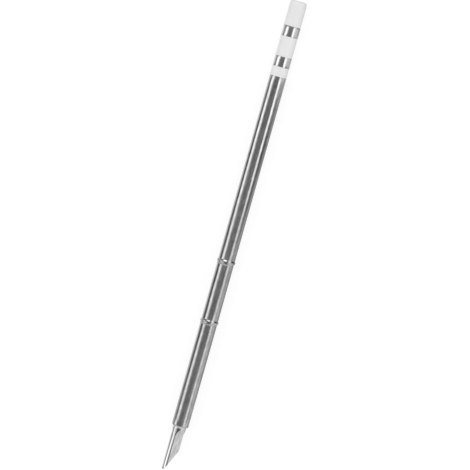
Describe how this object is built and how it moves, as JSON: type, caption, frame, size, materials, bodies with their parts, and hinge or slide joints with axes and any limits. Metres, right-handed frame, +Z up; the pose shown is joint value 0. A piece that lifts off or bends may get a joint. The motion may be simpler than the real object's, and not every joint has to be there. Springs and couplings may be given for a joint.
{
  "type": "soldering iron tip",
  "caption": "Cartridge soldering tip: a knife-shaped bit on a long thin beaded steel tube, with a sealed heater and an insulated plug end with contact rings.",
  "frame": {"origin": "middle of the box's base: under the long axis, halfway along it, on the surface that the two beads rest on", "axes": "+Z up; the long axis lies along Y with the plug end at +Y and the bit at -Y; the blade's thin edge is at +X and its spine at -X"},
  "size_m": [0.006, 0.155, 0.006],
  "materials": {
    "plated_bit": "bright plated, finely ground on the flats",
    "tube_steel": "drawn stainless tube, lightly brushed along its length",
    "contact_metal": "turned, bright",
    "white_insulator": "white, satin, slightly translucent",
    "heater_ceramic": "fired, matt",
    "resistance_wire": "oxidised resistance wire",
    "nickel": "drawn nickel",
    "glass_sleeving": "braided glass sleeving"
  },
  "bodies": {
    "root": {"soldering_bit": "plated_bit", "front_sheath": "tube_steel", "middle_sheath": "tube_steel", "rear_tube": "tube_steel", "connector_core": "white_insulator", "insulator_spacer": "white_insulator", "end_cap": "white_insulator", "contact_ring_front": "contact_metal", "contact_ring_rear": "contact_metal", "contact_tab_front": "nickel", "contact_tab_rear": "nickel", "heater_insulator": "heater_ceramic", "core_tube": "heater_ceramic", "sealing_plug": "heater_ceramic", "heating_coil": "resistance_wire", "return_coil": "nickel", "core_wire": "nickel", "live_lead": "nickel", "return_lead": "nickel", "live_sleeving": "glass_sleeving", "return_sleeving": "glass_sleeving"}
  },
  "joints": []
}
